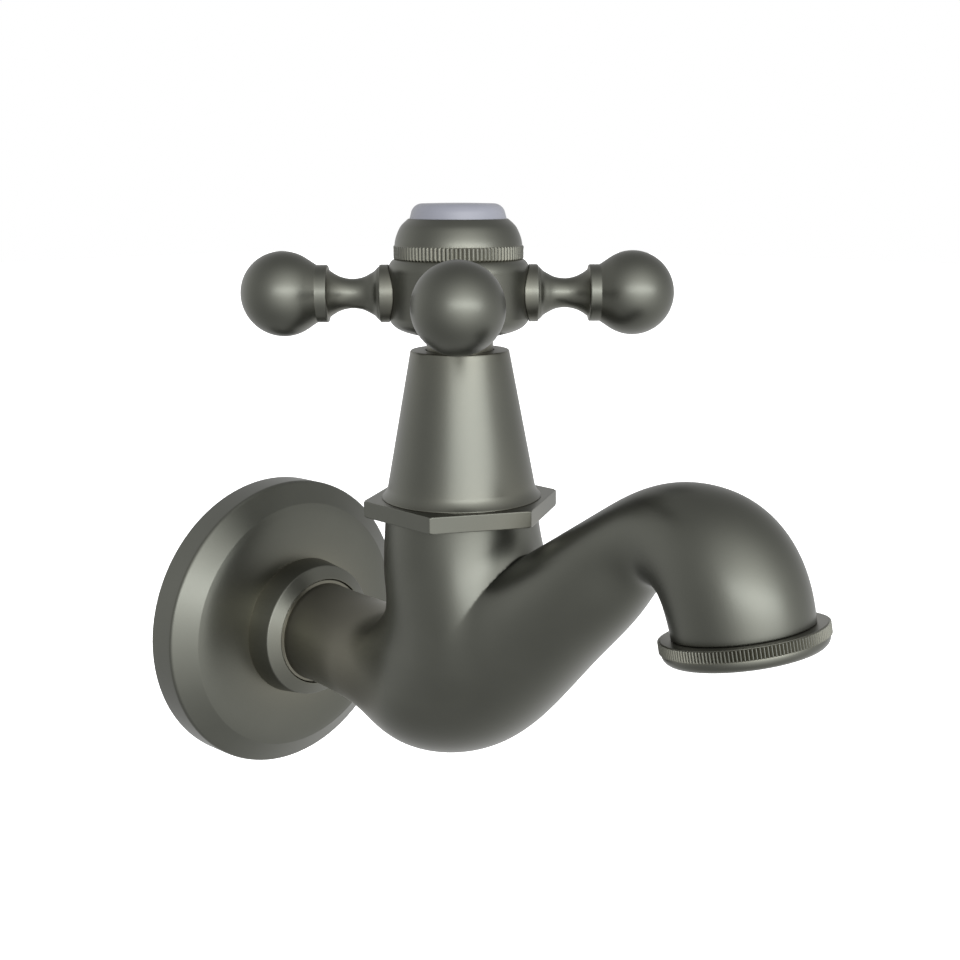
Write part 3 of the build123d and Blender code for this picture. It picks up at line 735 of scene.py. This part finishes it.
world = bpy.data.worlds.new("studio")
scene.world = world
world.use_nodes = True
wn = world.node_tree
bg = wn.nodes["Background"]


def wmath(op, a, b=None):
    n = wn.nodes.new("ShaderNodeMath")
    n.operation = op
    for i, v in enumerate((a, b)):
        if isinstance(v, (int, float)):
            n.inputs[i].default_value = v
        elif v is not None:
            wn.links.new(v, n.inputs[i])
    return n.outputs[0]


def glow(direction, strength, tightness):
    """Round soft glow of the studio walls towards a direction."""
    d = wn.nodes.new("ShaderNodeVectorMath")
    d.operation = "DOT_PRODUCT"
    wn.links.new(wn.nodes.new("ShaderNodeTexCoord").outputs["Generated"], d.inputs[0])
    d.inputs[1].default_value = Vector(direction).normalized()
    return wmath("MULTIPLY", wmath("EXPONENT", wmath("MULTIPLY", wmath("SUBTRACT", d.outputs["Value"], 1.0), tightness)), strength)


def studio_way(azimuth, elevation):
    """Direction from the object, azimuth in degrees to the right of the camera's side, elevation above it."""
    a, e = math.radians(azimuth), math.radians(elevation)
    return right * (math.sin(a) * math.cos(e)) + up * math.sin(e) + back * (math.cos(a) * math.cos(e))


lit = wmath("ADD", glow(studio_way(21, 2.6), 3.0, 3.86), 0.57)
for azimuth, elevation, strength, tightness in ((150, -37, 0.70, 2.5), (-110, 12, 0.72, 5.0), (100, -12, 0.30, 6.0),
                                                (-8, -76, -0.16, 3.0), (0, 84, -0.12, 4.0)):
    lit = wmath("ADD", lit, glow(studio_way(azimuth, elevation), strength, tightness))
lp = wn.nodes.new("ShaderNodeLightPath")
tint = wn.nodes.new("ShaderNodeMix")
wn.links.new(lp.outputs["Is Camera Ray"], tint.inputs["Factor"])
wn.links.new(lit, tint.inputs[2])
tint.inputs[3].default_value = 1.0
wn.links.new(tint.outputs[0], bg.inputs["Strength"])
bg.inputs["Color"].default_value = (1, 1, 1, 1)

centre = Vector((0.0, -0.06, 0.03))


def softbox(name, azimuth, elevation, distance, width, height, radiance, colour=(1, 1, 1)):
    way = studio_way(azimuth, elevation)
    d = bpy.data.lights.new(name, "AREA")
    d.shape = "RECTANGLE"
    d.size, d.size_y = width, height
    d.energy = radiance * math.pi * width * height
    d.color = colour
    o = bpy.data.objects.new(name, d)
    scene.collection.objects.link(o)
    o.location = centre + way * distance
    side = up.cross(way).normalized()
    o.matrix_world = Matrix.Translation(o.location) @ Matrix((side, way.cross(side), way)).transposed().to_4x4()
    return o


softbox("key", 21, 2.6, 1.5, 2.3, 0.30, 5.9, (0.974, 1.0, 1.05))
